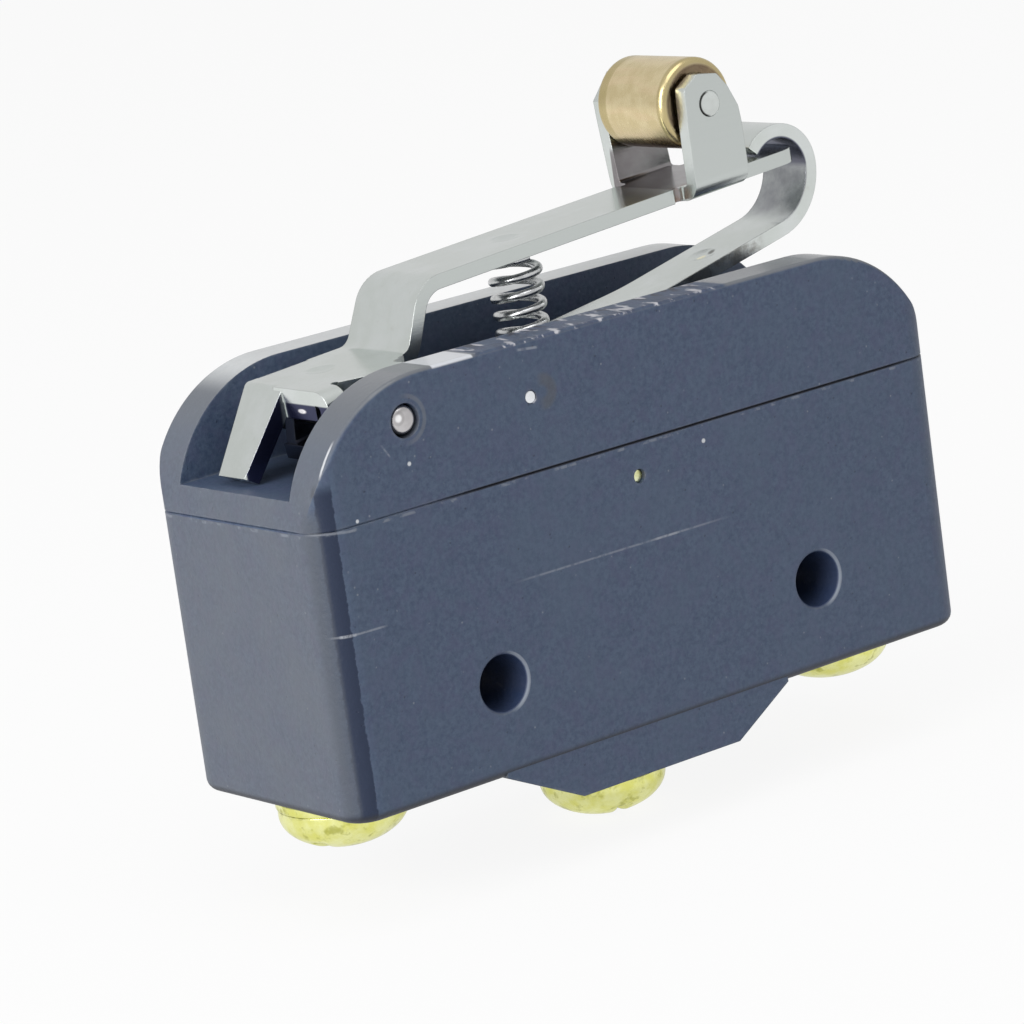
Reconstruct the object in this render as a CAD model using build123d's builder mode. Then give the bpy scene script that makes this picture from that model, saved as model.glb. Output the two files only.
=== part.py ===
from build123d import *

import os
from math import cos, radians, sin, tan

os.makedirs("parts", exist_ok=True)

# Frame: the origin lies midway between the two mounting holes, at half the body's depth.
# X runs along the body, Y goes into its depth and Z points away from the terminals.

# Moulded body
body_length = 49.2
body_depth = 17.45
case_bottom_z = -5.85
split_z = 12.07
body_top_z = 20.1
corner_radius = 2.0
end_radius = 8.9
bottom_radius = 0.8
edge_radius = 0.3
split_chamfer = 0.08
end_wall = 2.6
side_wall = 2.8
cavity_floor_z = 3.6
cavity_corner = 1.0
half_length = body_length / 2
half_depth = body_depth / 2

# Foot under the middle terminal
foot_gap_left = 2.25
foot_gap_right = 6.6
toe_gap_left = 3.7
toe_gap_right = 0.35
foot_bottom_z = -8.55
foot_inset = 0.15
pad_height = 0.95
pad_length = 8.6
pad_depth = 9.4

# Mounting holes through the depth of the case
hole_pitch = 25.4
hole_diameter = 3.53
hole_chamfer = 0.15

# Cover over the case, with an open channel for the levers
channel_width = 11.6
channel_floor_z = 13.85
tongue_length = 24.0
tongue_thickness = 0.9
tongue_depth = 3.1
tongue_clearance = 0.05
guide_diameter = 6.4
guide_height = 0.9

# Hinge pin of both levers
pivot_inset = 7.4
pivot_x = pivot_inset - half_length
pivot_z = 17.39
pin_diameter = 1.8
pin_hole_diameter = 2.1
pin_hole_drop = 0.05
pin_recess = 0.05
pin_end_radius = 0.4
pivot_clearance = 0.05

# Small pins in the front wall
stud_from_pivot = 9.38
stud_z = 16.61
stud_diameter = 0.85
stud_recess = 0.05
lock_x = -0.4
lock_z = 9.92
lock_diameter = 0.9
lock_recess = 0.3
small_pin_radius = 0.1

# Steel strip that both levers are folded from
strip_thickness = 0.92
fold_radius = 1.2
relief_radius = 0.35
dimple_radius = 0.95
dimple_depth = 0.18

# Lower lever, which presses the plunger: its top face runs straight, then loops at the free end
lever_width = 4.2
lever_root_overhang = 1.5
lever_slope = 7.9
lever_drop = 1.787
lever_straight = 24.35
lever_kink_radius = 30.0
lever_kink_angle = 4.7
lever_reach = 9.49
loop_rise_radius = 3.35
loop_crown_radius = 2.15
loop_crown_angle = 140.0
lever_dimple_from_pivot = 30.99
lever_ear_radius = 1.15
lever_ear_foot = 1.3
lever_travel = 2.28

# Upper lever, which carries the roller and stands over the lower one.
# Its sizes are taken along and square to its straight part, from the hinge pin.
arm_tilt = 4.1
arm_half_width = 2.85
arm_top = 6.15
arm_tip = 38.2
arm_tip_radius = 1.4
root_half_width = 3.2
root_top = 2.29
riser_foot = 5.0
riser_head = 6.92
riser_foot_radius = 0.9
riser_head_radius = 2.5
taper_end = 8.5
tail_corner = -2.8
tail_corner_radius = 0.45
tail_angle = 56.2
tail_length = 5.87
tail_far = 3.1
tail_near = 0.3
tail_shoulder = -0.85
tail_tip_radius = 0.5
plate_end = -2.95
wing_length = 1.5
wing_outer = 5.45
root_near_edge = 4.05
root_near_end = 3.1
root_shoulder = 4.6
arm_ear_radius = 1.5
far_ear_outer = 4.1
far_ear_half_length = 1.9
root_dimple = 0.65

# Roller, its pin and the outline of the two ears that hold it, seen from the pin's centre
roller_along = 30.5
roller_above_arm = 4.83
roller_radius = 2.9
roller_edge = 0.45
roller_dish_radius = 1.9
roller_dish_depth = 0.35
roller_side_gap = 0.28
roller_far_end = 3.58
roller_pin_diameter = 1.65
roller_pin_proud = 0.05
roller_bore_clearance = 0.05
roller_ear_outer = 4.25
far_ear_lean = 7.2
roller_ear_corner = 0.35
roller_ear_outline = (
    (-2.33, -6.4),
    (-2.0, -0.87),
    (-1.8, 1.35),
    (-0.55, 2.04),
    (0.97, 1.71),
    (1.66, 0.75),
    (2.25, -0.7),
    (2.3, -1.67),
    (2.1, -6.4),
)

# Coil spring between the two levers
spring_along = 15.98
spring_outer_radius = 1.75
spring_wire = 0.56
spring_turns = 4.75
spring_foot_gap = 0.16
spring_head_gap = 0.04

# Plunger and the contact blade that it presses
plunger_x = -4.4
plunger_radius = 1.5
plunger_bore_clearance = 0.08
plunger_dome_radius = 2.6
plunger_collar_radius = 2.5
plunger_collar_height = 1.0
plunger_collar_gap = 0.12
plunger_nose_radius = 0.75
plunger_gap = 0.03
blade_z = 7.6
blade_thickness = 0.3
blade_bar_half = 1.9
blade_leg = 1.3
blade_width = 6.0
blade_tip_x = 12.2
blade_tip_width = 4.2
blade_root_bar = 1.8
blade_taper = 3.0
snap_width = 2.4
snap_start_x = -6.1
snap_low_x = -10.6
snap_low_z = 5.75
snap_end_gap = 0.05
snap_end_z = 6.3

# Contacts
contact_x = 10.0
contact_radius = 1.5
contact_neck_radius = 0.8
contact_proud = 0.7
contact_edge = 0.25
closed_gap = 0.02
open_gap = 0.08
contact_base_radius = 1.7

# Terminals, their screws and washers
common_terminal_inset = 4.9
closed_terminal_inset = 4.5
middle_terminal_x = 0.2
post_length = 5.2
post_depth = 6.0
terminal_strip = 0.8
terminal_strip_width = 5.0
strip_bend_radius = 0.95
contact_strip_end = 1.8
closed_foot_left = 1.7
closed_riser_right = 1.3
closed_strip_z = 10.1
screw_bore_radius = 1.75
screw_bore_depth = 6.5
screw_shank_radius = 1.7
screw_shank_length = 6.0
screw_head_radius = 4.05
screw_head_rim = 0.45
screw_head_dome = 2.3
screw_slot_width = 1.1
screw_slot_depth = 1.0
washer_radius = 4.15
washer_thickness = 0.7
washer_hole_radius = 1.9
washer_cup_radius = 3.2
washer_cup_depth = 0.2
washer_edge = 0.2

# Block of the common terminal that holds the blade and its snap tongue in two notches
anchor_wall = 2.45
anchor_notch_mouth = 0.45
anchor_step = 1.9
anchor_foot_left = 2.1
anchor_foot_z = 4.6
anchor_step_z = 6.95
anchor_top_z = 9.0
notch_half_height = 0.45
blade_notch_depth = 0.8
snap_notch_depth = 0.6

# The upper lever's directions, as planes through the hinge pin: from the side, from above and along it
tilt = radians(arm_tilt)
arm_along = Vector(cos(tilt), 0, sin(tilt))
arm_up = Vector(-sin(tilt), 0, cos(tilt))
pivot = Vector(pivot_x, 0, pivot_z)
arm_side = Plane(origin=pivot, x_dir=arm_along, z_dir=(0, -1, 0))
arm_plan = Plane(origin=pivot, x_dir=arm_along, z_dir=arm_up)
arm_section = Plane(origin=pivot, x_dir=(0, 1, 0), z_dir=arm_along)
arm_bottom = arm_top - strip_thickness
root_bottom = root_top - strip_thickness
roller_height = arm_top + roller_above_arm
roller_centre = pivot + arm_along * roller_along + arm_up * roller_height
roller_side = Plane(origin=roller_centre, x_dir=arm_along, z_dir=(0, -1, 0))

# The lower lever's top face is a straight line from its root to the kink
slope = radians(lever_slope)
lever_rise = strip_thickness / cos(slope)


def lever_top_z(x):
    return pivot_z - lever_drop + (x - pivot_x) * tan(slope)


# The plunger's dome touches the lower lever, and the blade lies under the plunger
dome_centre_z = lever_top_z(plunger_x) - lever_rise - (plunger_dome_radius + plunger_gap) / cos(slope)
plunger_nose_z = blade_z + blade_thickness / 2 + plunger_gap

# The moving contact rests on the closed contact and drops to the open one over the lever's travel
contact_drop = (contact_x - pivot_x) * tan(radians(lever_travel))
closed_face_z = blade_z + blade_thickness / 2 + contact_proud + closed_gap
open_face_z = blade_z - blade_thickness / 2 - contact_proud - contact_drop - open_gap

# Each terminal's centre along X, the height of its seat and the direction of its screw's slot
pad_bottom_z = foot_bottom_z - pad_height
common_terminal_x = common_terminal_inset - half_length
closed_terminal_x = half_length - closed_terminal_inset
terminals = {
    "common": (common_terminal_x, case_bottom_z, 20),
    "open": (middle_terminal_x, pad_bottom_z, 75),
    "closed": (closed_terminal_x, case_bottom_z, -35),
}


def finish(piece, name):
    """Name one piece and write it to its own file."""
    piece.part.label = name
    export_step(piece.part, "parts/" + name + ".step")


# The foot's slopes start at a clearance from the outer terminals' washers and end beside the pad
foot_root_left = common_terminal_x + washer_radius + foot_gap_left
foot_root_right = closed_terminal_x - washer_radius - foot_gap_right
foot_toe_left = middle_terminal_x - pad_length / 2 - toe_gap_left
foot_toe_right = middle_terminal_x + pad_length / 2 + toe_gap_right


# Case: the lower moulding with its foot, cavity, terminal sockets and mounting holes
with BuildPart() as case:
    with BuildSketch(Plane.XY.offset(case_bottom_z)):
        RectangleRounded(body_length, body_depth, corner_radius)
    extrude(amount=split_z - case_bottom_z)
    fillet(case.edges().group_by(Axis.Z)[0], bottom_radius)
    chamfer(case.edges().group_by(Axis.Z)[-1], split_chamfer)
    with BuildSketch(Plane.XZ):
        with BuildLine():
            Polyline(
                (foot_root_left, case_bottom_z + bottom_radius),
                (foot_root_left, case_bottom_z),
                (foot_toe_left, foot_bottom_z),
                (foot_toe_right, foot_bottom_z),
                (foot_root_right, case_bottom_z),
                (foot_root_right, case_bottom_z + bottom_radius),
                close=True,
            )
        make_face()
    extrude(amount=half_depth - foot_inset, both=True)
    with BuildSketch(Plane.XY.offset(foot_bottom_z)):
        with Locations((middle_terminal_x, 0)):
            Rectangle(pad_length, pad_depth)
    extrude(amount=-pad_height)
    with BuildSketch(Plane.XY.offset(cavity_floor_z)):
        RectangleRounded(body_length - 2 * end_wall, body_depth - 2 * side_wall, cavity_corner)
    extrude(amount=split_z - cavity_floor_z, mode=Mode.SUBTRACT)
    for terminal_x, seat_z, _ in terminals.values():
        with BuildSketch(Plane.XY.offset(seat_z)):
            with Locations((terminal_x, 0)):
                Rectangle(post_length, post_depth)
        extrude(amount=cavity_floor_z - seat_z, mode=Mode.SUBTRACT)
    with BuildSketch(Plane.XZ):
        with GridLocations(hole_pitch, 0, 2, 1):
            Circle(hole_diameter / 2)
    extrude(amount=half_depth, both=True, mode=Mode.SUBTRACT)
    hole_mouths = case.edges().filter_by(GeomType.CIRCLE).filter_by(
        lambda edge: abs(edge.radius - hole_diameter / 2) < 0.001
    )
    chamfer(hole_mouths, hole_chamfer)
    with BuildSketch(Plane.XZ):
        with Locations((lock_x, lock_z)):
            Circle(lock_diameter / 2)
    extrude(amount=half_depth, both=True, mode=Mode.SUBTRACT)
finish(case, "case")

# Cover: the upper moulding with rounded ends, the lever channel and two tongues that drop into the case
cover_height = body_top_z - split_z
tongue_y = half_depth - side_wall - tongue_clearance - tongue_thickness / 2
stud_x = pivot_x + stud_from_pivot
with BuildPart() as cover:
    with BuildSketch(Plane.XZ) as cover_side:
        with Locations((0, body_top_z - end_radius)):
            Rectangle(body_length, 2 * end_radius)
        fillet(cover_side.vertices().group_by(Axis.Y)[-1], end_radius)
        with Locations((0, split_z - end_radius)):
            Rectangle(body_length, 2 * end_radius, mode=Mode.SUBTRACT)
    extrude(amount=half_depth, both=True)
    crown = cover.faces().filter_by(Axis.Y).edges().filter_by(
        lambda edge: edge.center().Z > split_z + edge_radius
    )
    fillet(crown, edge_radius)
    with BuildSketch(Plane.XY.offset(split_z)):
        RectangleRounded(body_length, body_depth, corner_radius)
    extrude(amount=cover_height, mode=Mode.INTERSECT)
    chamfer(cover.edges().group_by(Axis.Z)[0], split_chamfer)
    with BuildSketch(Plane.XY.offset(channel_floor_z)):
        Rectangle(body_length, channel_width)
    extrude(amount=body_top_z - channel_floor_z, mode=Mode.SUBTRACT)
    with BuildSketch(Plane.XY.offset(split_z)):
        with GridLocations(0, 2 * tongue_y, 1, 2):
            Rectangle(tongue_length, tongue_thickness)
    extrude(amount=-tongue_depth)
    with BuildSketch(Plane.XY.offset(channel_floor_z)):
        with Locations((plunger_x, 0)):
            Circle(guide_diameter / 2)
    extrude(amount=guide_height)
    with BuildSketch(Plane.XY.offset(split_z)):
        with Locations((plunger_x, 0)):
            Circle(plunger_radius + plunger_bore_clearance)
    extrude(amount=channel_floor_z + guide_height - split_z, mode=Mode.SUBTRACT)
    with BuildSketch(Plane.XZ):
        with Locations((pivot_x, pivot_z - pin_hole_drop)):
            Circle(pin_hole_diameter / 2)
        with Locations((lock_x, lock_z)):
            Circle(lock_diameter / 2)
    extrude(amount=half_depth, both=True, mode=Mode.SUBTRACT)
    with BuildSketch(Plane.XZ.offset(channel_width / 2)):
        with Locations((stud_x, stud_z)):
            Circle(stud_diameter / 2)
    extrude(amount=half_depth - channel_width / 2, mode=Mode.SUBTRACT)
finish(cover, "cover")


def cross_pin(centre, diameter, front_y, back_y, end_radius):
    """A round pin along Y with softened ends."""
    with BuildPart() as pin:
        with BuildSketch(Plane.XZ.offset(-back_y)):
            with Locations((centre.X, centre.Z)):
                Circle(diameter / 2)
        extrude(amount=back_y - front_y)
        fillet(pin.edges().filter_by(GeomType.CIRCLE), end_radius)
    return pin


pin_reach = half_depth - pin_recess
lock_reach = half_depth - lock_recess
roller_pin_reach = roller_ear_outer + roller_pin_proud
lean = tan(radians(far_ear_lean))
roller_pin_far = roller_ear_outer + (roller_height - arm_bottom + roller_pin_diameter / 2) * lean + roller_pin_proud
stud_centre = Vector(stud_x, 0, stud_z)
lock_centre = Vector(lock_x, 0, lock_z)
pivot_pin = cross_pin(pivot, pin_diameter, -pin_reach, pin_reach, pin_end_radius)
finish(pivot_pin, "pivot_pin")
wall_stud = cross_pin(stud_centre, stud_diameter, stud_recess - half_depth, -channel_width / 2, small_pin_radius)
finish(wall_stud, "wall_stud")
lock_pin = cross_pin(lock_centre, lock_diameter, -lock_reach, lock_reach, small_pin_radius)
finish(lock_pin, "lock_pin")
roller_pin = cross_pin(roller_centre, roller_pin_diameter, -roller_pin_reach, roller_pin_far, small_pin_radius)
finish(roller_pin, "roller_pin")


def folded(section, reach, path, side, outline):
    """Folded strip: its bent section is drawn across the lever and then cut to the outline."""
    with BuildPart() as piece:
        with BuildSketch(section):
            with BuildLine():
                FilletPolyline(*path, radius=fold_radius)
                offset(amount=strip_thickness, side=side)
            make_face()
        extrude(amount=reach, both=True)
        extrude(outline, amount=half_depth, both=True, mode=Mode.INTERSECT)
    return piece.part


def press_dimple(place):
    """Press one dimple into the strip whose top face lies on the plane: domed below, hollow above."""
    ball = (dimple_radius**2 + dimple_depth**2) / (2 * dimple_depth)
    side = Plane(origin=place.origin, x_dir=place.x_dir, z_dir=place.y_dir * -1)
    with BuildSketch(side) as dome:
        with Locations((0, ball - dimple_depth - strip_thickness)):
            Circle(ball)
        with Locations((0, ball - strip_thickness / 2)):
            Rectangle(2 * ball, 2 * ball, mode=Mode.SUBTRACT)
        with Locations((-ball / 2, -ball)):
            Rectangle(ball, 4 * ball, mode=Mode.SUBTRACT)
    revolve(dome.sketch, axis=Axis(place.origin, place.z_dir))
    with Locations(place.offset(ball - dimple_depth)):
        Sphere(ball, mode=Mode.SUBTRACT)


# Lower lever: a narrow strip with two ears turned up on the hinge pin and a loop at its free end
pin_clear_radius = pin_diameter / 2 + pivot_clearance
lever_along = Vector(cos(slope), 0, sin(slope))
lever_root = Vector(pivot_x, 0, lever_top_z(pivot_x))
lever_side = Plane(origin=lever_root, x_dir=lever_along, z_dir=(0, -1, 0))
lever_section = Plane(origin=lever_root, x_dir=(0, 1, 0), z_dir=lever_along)
pivot_on_lever = lever_side.to_local_coords(pivot)
with BuildSketch(lever_side) as lever_ear_outline:
    with Locations((0, -strip_thickness / 2)):
        Rectangle(2 * lever_ear_foot, strip_thickness)
    with Locations((pivot_on_lever.X, pivot_on_lever.Y)):
        Circle(lever_ear_radius)
    make_hull()
    with Locations((pivot_on_lever.X, pivot_on_lever.Y)):
        Circle(pin_clear_radius, mode=Mode.SUBTRACT)
lever_ear_path = (
    (-lever_width / 2, lever_width),
    (-lever_width / 2, -strip_thickness),
    (lever_width / 2, -strip_thickness),
    (lever_width / 2, lever_width),
)
lever_ears = folded(lever_section, lever_width, lever_ear_path, Side.LEFT, lever_ear_outline.sketch)
with BuildPart() as plunger_lever:
    with BuildSketch(Plane.XZ):
        with BuildLine():
            root_end = pivot_x - lever_root_overhang
            kink_start = pivot_x + lever_straight
            root = Line((root_end, lever_top_z(root_end)), (kink_start, lever_top_z(kink_start)))
            kink = JernArc(root @ 1, root % 1, lever_kink_radius, lever_kink_angle)
            reach = PolarLine(kink @ 1, lever_reach, direction=kink % 1)
            rise_angle = 90 - lever_slope - lever_kink_angle
            rise = JernArc(reach @ 1, reach % 1, loop_rise_radius, rise_angle)
            JernArc(rise @ 1, rise % 1, loop_crown_radius, loop_crown_angle)
            offset(amount=strip_thickness, side=Side.RIGHT)
        make_face()
    extrude(amount=lever_width / 2, both=True)
    fold_room = lever_width + 2 * strip_thickness
    with BuildSketch(lever_section.offset(-lever_ear_foot)):
        Rectangle(fold_room, 2 * strip_thickness + fold_radius)
    extrude(amount=2 * lever_ear_foot, mode=Mode.SUBTRACT)
    add(lever_ears)
    reach_start = Vector((reach @ 0).X, 0, (reach @ 0).Y)
    reach_slope = radians(lever_slope + lever_kink_angle)
    reach_up = Vector(-sin(reach_slope), 0, cos(reach_slope))
    dimple_x = pivot_x + lever_dimple_from_pivot
    dimple_place = Vector(dimple_x, 0, reach_start.Z + (dimple_x - reach_start.X) * tan(reach_slope))
    press_dimple(Plane(origin=dimple_place, x_dir=(cos(reach_slope), 0, sin(reach_slope)), z_dir=reach_up))
finish(plunger_lever, "plunger_lever")

# Upper lever: the ears of its root turn down on the hinge pin, beside the ears of the lower lever
with BuildSketch(arm_side) as near_ear_outline:
    wing_centre = plate_end + wing_length / 2
    with Locations((wing_centre, root_bottom - strip_thickness / 2)):
        Rectangle(wing_length, strip_thickness / 2)
    Circle(arm_ear_radius)
    make_hull()
    with Locations((wing_centre, root_bottom)):
        Rectangle(wing_length, 2 * strip_thickness + relief_radius)
    Circle(pin_clear_radius, mode=Mode.SUBTRACT)
near_ear_path = ((0, root_top), (-wing_outer, root_top), (-wing_outer, -root_top))
near_ear = folded(arm_section, wing_outer, near_ear_path, Side.LEFT, near_ear_outline.sketch)
with BuildSketch(arm_side) as far_ear_outline:
    with Locations((0, root_bottom + strip_thickness / 2)):
        Rectangle(2 * far_ear_half_length, strip_thickness)
    Circle(arm_ear_radius)
    make_hull()
    Circle(pin_clear_radius, mode=Mode.SUBTRACT)
far_ear_path = ((0, root_top), (far_ear_outer, root_top), (far_ear_outer, -root_top))
far_ear = folded(arm_section, wing_outer, far_ear_path, Side.RIGHT, far_ear_outline.sketch)

# The ears that hold the roller turn up from two wings of the straight part
with BuildSketch(roller_side) as roller_ear_sketch:
    with BuildLine():
        FilletPolyline(*roller_ear_outline, radius=roller_ear_corner, close=True)
    make_face()
    Circle(roller_pin_diameter / 2, mode=Mode.SUBTRACT)
roller_ear_path = (
    (-roller_ear_outer, roller_height + roller_radius),
    (-roller_ear_outer, arm_bottom),
    (roller_ear_outer, arm_bottom),
    (roller_ear_outer + (roller_height + roller_radius - arm_bottom) * lean, roller_height + roller_radius),
)
roller_section = arm_section.offset(roller_along)
roller_ears = folded(roller_section, wing_outer, roller_ear_path, Side.LEFT, roller_ear_sketch.sketch)

# The upper lever's side view gives its bends, and its plan gives its tapers and the narrow tail
tail_run = tail_length * cos(radians(tail_angle))
tail_drop = tail_length * sin(radians(tail_angle))
tail_tip_x = tail_corner - tail_run
wing_end = plate_end + wing_length
ear_start = roller_along + roller_ear_outline[0][0]
ear_end = roller_along + roller_ear_outline[-1][0]
with BuildPart() as roller_arm:
    with BuildSketch(arm_side) as bends:
        with BuildLine():
            Line((tail_corner - tail_run, root_top - tail_drop), (tail_corner, root_top))
            FilletPolyline(
                (tail_corner, root_top),
                (riser_foot, root_top),
                (riser_head, arm_top),
                (arm_tip, arm_top),
                radius=(riser_foot_radius, riser_head_radius),
            )
            offset(amount=strip_thickness, side=Side.RIGHT)
        make_face()
        fillet(bends.vertices().sort_by_distance((tail_corner, root_top))[0], tail_corner_radius)
    extrude(amount=wing_outer, both=True)
    with BuildSketch(arm_plan) as plan:
        with BuildLine():
            Polyline(
                (arm_tip, arm_half_width),
                (taper_end, arm_half_width),
                (riser_foot, root_half_width),
                (far_ear_half_length, root_half_width),
                (far_ear_half_length, far_ear_outer - fold_radius),
                (-far_ear_half_length, far_ear_outer - fold_radius),
                (-far_ear_half_length, tail_far),
                (tail_tip_x, tail_far),
                (tail_tip_x, tail_near),
                (tail_corner, tail_shoulder),
                (plate_end, tail_shoulder),
                (plate_end, -root_near_edge),
                (root_near_end, -root_near_edge),
                (root_shoulder, -root_half_width),
                (riser_foot, -root_half_width),
                (taper_end, -arm_half_width),
                (arm_tip, -arm_half_width),
                close=True,
            )
        make_face()
        fillet(plan.vertices().group_by(Axis.X)[-1], arm_tip_radius)
        fillet(plan.vertices().sort_by_distance((tail_tip_x, tail_near))[0], tail_tip_radius)
        with Locations((wing_end + relief_radius, -root_near_edge)):
            Circle(relief_radius, mode=Mode.SUBTRACT)
        with Locations((ear_start - relief_radius, 0), (ear_end + relief_radius, 0)):
            with GridLocations(0, 2 * arm_half_width, 1, 2):
                Circle(relief_radius, mode=Mode.SUBTRACT)
    extrude(amount=2 * arm_top, both=True, mode=Mode.INTERSECT)
    add(near_ear)
    add(far_ear)
    add(roller_ears)
    press_dimple(arm_plan.offset(root_top).shift_origin(pivot + arm_up * root_top + arm_along * root_dimple))
    press_dimple(arm_plan.offset(arm_top).shift_origin(pivot + arm_up * arm_top + arm_along * spring_along))
finish(roller_arm, "roller_arm")

# Roller: a turned ring with rounded rims and a shallow dish in each end
roller_near_end = roller_ear_outer - strip_thickness - roller_side_gap
with BuildPart() as roller:
    with BuildSketch(roller_side.offset(-roller_far_end)):
        Circle(roller_radius)
    extrude(amount=roller_near_end + roller_far_end)
    fillet(roller.edges().filter_by(GeomType.CIRCLE), roller_edge)
    bore_radius = roller_pin_diameter / 2 + roller_bore_clearance
    with Locations(roller_side.offset(roller_near_end), (-roller_side).offset(roller_far_end)):
        CounterBoreHole(bore_radius, roller_dish_radius, roller_dish_depth)
finish(roller, "roller")

# Coil spring, square to the upper lever, standing on the lower one
spring_foot = pivot + arm_along * spring_along
foot_drop = (lever_top_z(spring_foot.X) - spring_foot.Z) * cos(slope) / cos(slope - tilt)
coil_bottom = foot_drop + spring_foot_gap + spring_wire / 2
coil_height = arm_bottom - spring_head_gap - spring_wire / 2 - coil_bottom
coil_base = Plane(origin=spring_foot + arm_up * coil_bottom, x_dir=arm_along, z_dir=arm_up)
with BuildPart() as coil_spring:
    with BuildLine(coil_base) as coil_path:
        Helix(coil_height / spring_turns, coil_height, spring_outer_radius - spring_wire / 2)
    with BuildSketch(Plane(origin=coil_path.line @ 0, z_dir=coil_path.line % 0)):
        Circle(spring_wire / 2)
    sweep(path=coil_path.line, is_frenet=True)
finish(coil_spring, "coil_spring")

# Plunger: a domed shaft with a collar that keeps it in the cover
collar_top = split_z - plunger_collar_gap
dome_shoulder = dome_centre_z + (plunger_dome_radius**2 - plunger_radius**2) ** 0.5
with BuildPart() as plunger:
    with BuildSketch(Plane.XZ):
        with BuildLine():
            Polyline(
                (plunger_x, dome_centre_z + plunger_dome_radius),
                (plunger_x, plunger_nose_z),
                (plunger_x + plunger_nose_radius, plunger_nose_z),
                (plunger_x + plunger_radius, plunger_nose_z + plunger_radius - plunger_nose_radius),
                (plunger_x + plunger_radius, collar_top - plunger_collar_height),
                (plunger_x + plunger_collar_radius, collar_top - plunger_collar_height),
                (plunger_x + plunger_collar_radius, collar_top),
                (plunger_x + plunger_radius, collar_top),
                (plunger_x + plunger_radius, dome_shoulder),
            )
            RadiusArc(
                (plunger_x + plunger_radius, dome_shoulder),
                (plunger_x, dome_centre_z + plunger_dome_radius),
                -plunger_dome_radius,
            )
        make_face()
    revolve(axis=Axis((plunger_x, 0, 0), (0, 0, 1)))
finish(plunger, "plunger")

# Snap spring: a blade with a window, and a bowed tongue that pushes against the common terminal
blade_root_x = pivot_x - blade_thickness / 2
window_left = pivot_x + blade_root_bar
bar_left = plunger_x - blade_bar_half
bar_right = plunger_x + blade_bar_half
anchor_face_x = pivot_x + anchor_notch_mouth
anchor_step_x = pivot_x + anchor_step
snap_end_x = anchor_step_x - snap_end_gap
with BuildPart() as snap_spring:
    with BuildSketch(Plane.XY.offset(blade_z - blade_thickness / 2)):
        with BuildLine():
            Polyline(
                (blade_root_x, -blade_width / 2),
                (bar_right, -blade_width / 2),
                (bar_right + blade_taper, -blade_tip_width / 2),
                (blade_tip_x, -blade_tip_width / 2),
                (blade_tip_x, blade_tip_width / 2),
                (bar_right + blade_taper, blade_tip_width / 2),
                (bar_right, blade_width / 2),
                (blade_root_x, blade_width / 2),
                close=True,
            )
        make_face()
        with Locations(((window_left + bar_left) / 2, 0)):
            Rectangle(bar_left - window_left, blade_width - 2 * blade_leg, mode=Mode.SUBTRACT)
        with Locations((contact_x, 0)):
            Circle(contact_neck_radius, mode=Mode.SUBTRACT)
    extrude(amount=blade_thickness)
    knife_edges = snap_spring.edges().filter_by(Axis.Y).group_by(Axis.X)[0]
    fillet(knife_edges, 0.49 * blade_thickness)
    with BuildSketch(Plane.XZ):
        with BuildLine():
            ThreePointArc((snap_start_x, blade_z), (snap_low_x, snap_low_z), (snap_end_x, snap_end_z))
            offset(amount=blade_thickness, side=Side.RIGHT)
        make_face()
    extrude(amount=snap_width / 2, both=True)
finish(snap_spring, "snap_spring")


def contact(low_z, low_radius, waist_low_z, waist_high_z, high_z, high_radius):
    """A riveted contact: a neck between two heads, where a head of no height is left out."""
    with BuildPart() as rivet:
        with BuildSketch(Plane.XY.offset(low_z)):
            with Locations((contact_x, 0)):
                Circle(contact_neck_radius)
        extrude(amount=high_z - low_z)
        if waist_low_z > low_z:
            with BuildSketch(Plane.XY.offset(low_z)):
                with Locations((contact_x, 0)):
                    Circle(low_radius)
            extrude(amount=waist_low_z - low_z)
            fillet(rivet.edges().filter_by(GeomType.CIRCLE).group_by(Axis.Z)[0], contact_edge)
        if high_z > waist_high_z:
            with BuildSketch(Plane.XY.offset(waist_high_z)):
                with Locations((contact_x, 0)):
                    Circle(high_radius)
            extrude(amount=high_z - waist_high_z)
            fillet(rivet.edges().filter_by(GeomType.CIRCLE).group_by(Axis.Z)[-1], contact_edge)
    return rivet


blade_low = blade_z - blade_thickness / 2
blade_high = blade_z + blade_thickness / 2
open_strip_z = cavity_floor_z + terminal_strip
closed_strip_bottom = closed_strip_z - terminal_strip
moving_contact = contact(
    blade_low - contact_proud, contact_radius, blade_low, blade_high, blade_high + contact_proud, contact_radius
)
finish(moving_contact, "moving_contact")
open_contact = contact(cavity_floor_z, 0, cavity_floor_z, open_strip_z, open_face_z, contact_base_radius)
finish(open_contact, "open_contact")
closed_contact = contact(
    closed_face_z, contact_base_radius, closed_strip_bottom, closed_strip_z, closed_strip_z, 0
)
finish(closed_contact, "closed_contact")


def terminal_post(name):
    """The block of one terminal, with the blind bore of its screw opening at the seat."""
    terminal_x, seat_z, _ = terminals[name]
    with BuildPart() as post:
        with BuildSketch(Plane.XY.offset(seat_z)):
            with Locations((terminal_x, 0)):
                Rectangle(post_length, post_depth)
                Circle(screw_bore_radius, mode=Mode.SUBTRACT)
        extrude(amount=screw_bore_depth)
        with BuildSketch(Plane.XY.offset(seat_z + screw_bore_depth)):
            with Locations((terminal_x, 0)):
                Rectangle(post_length, post_depth)
        extrude(amount=cavity_floor_z - seat_z - screw_bore_depth)
    return post.part


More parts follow.
